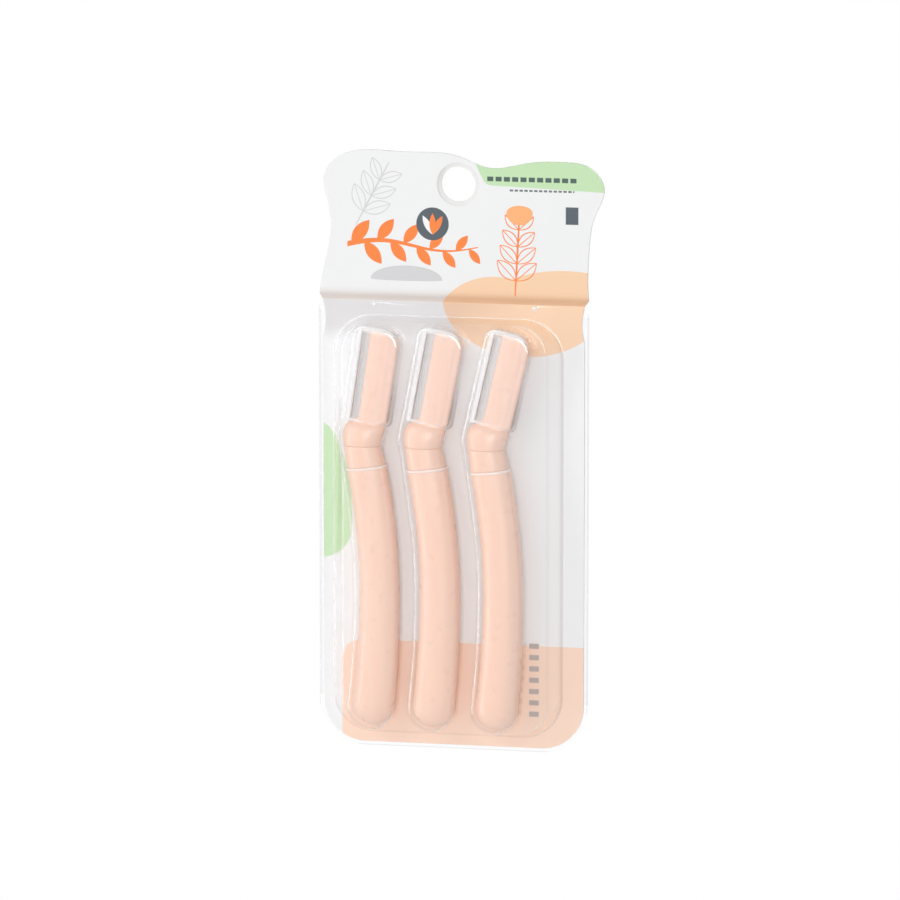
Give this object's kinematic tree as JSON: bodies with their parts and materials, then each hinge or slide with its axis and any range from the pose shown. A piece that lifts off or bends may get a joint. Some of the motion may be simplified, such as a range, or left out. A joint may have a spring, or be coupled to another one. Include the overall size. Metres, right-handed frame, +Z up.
{
  "type": "eyebrow razor slide-card pack",
  "caption": "Slide-card pack of eyebrow razors: bent card with a hang hole, clear formed blister on side rails, and bow-handled razors with a steel blade under a clear cap.",
  "frame": {"origin": "centre of the hang hole, halfway through the back ply of the card", "axes": "+Z up towards the top of the header, +X to the right as the front is seen, +Y to the back of the card"},
  "size_m": [0.1004, 0.0144, 0.2089],
  "materials": {
    "printed_card": "smooth coated board with soft printed colour fields",
    "plain_card": "uncoated board",
    "blister_sheet": "clear thermoformed sheet",
    "peach_plastic": "satin moulded plastic",
    "blade_steel": "fine brushed, ground edge",
    "clear_cap": "clear moulded plastic"
  },
  "bodies": {
    "card": {"front_card": "printed_card", "back_card": "plain_card"},
    "blister": {"blister": "blister_sheet"},
    "razor_1": {"handle_1": "peach_plastic", "collar_1": "peach_plastic", "blade_head_1": "peach_plastic", "blade_1": "blade_steel"},
    "cap_1": {"cap_1": "clear_cap"},
    "razor_2": {"handle_2": "peach_plastic", "collar_2": "peach_plastic", "blade_head_2": "peach_plastic", "blade_2": "blade_steel"},
    "cap_2": {"cap_2": "clear_cap"},
    "razor_3": {"handle_3": "peach_plastic", "collar_3": "peach_plastic", "blade_head_3": "peach_plastic", "blade_3": "blade_steel"},
    "cap_3": {"cap_3": "clear_cap"}
  },
  "joints": [
    {"name": "blister_slide", "type": "slide", "parent": "card", "child": "blister", "axis": [0, 0, -1], "range_m": [0, 0.155]},
    {"name": "razor_1_play", "type": "slide", "parent": "blister", "child": "razor_1", "axis": [0, 0, 1], "range_m": [0, 0.0006]},
    {"name": "razor_2_play", "type": "slide", "parent": "blister", "child": "razor_2", "axis": [0, 0, 1], "range_m": [0, 0.0006]},
    {"name": "razor_3_play", "type": "slide", "parent": "blister", "child": "razor_3", "axis": [0, 0, 1], "range_m": [0, 0.0006]},
    {"name": "cap_1_pull", "type": "slide", "parent": "razor_1", "child": "cap_1", "axis": [0.1444, 0, 0.9895], "range_m": [0, 0.0005]},
    {"name": "cap_2_pull", "type": "slide", "parent": "razor_2", "child": "cap_2", "axis": [0.184, 0, 0.9829], "range_m": [0, 0.0005]},
    {"name": "cap_3_pull", "type": "slide", "parent": "razor_3", "child": "cap_3", "axis": [0.2233, 0, 0.9748], "range_m": [0, 0.0005]}
  ]
}
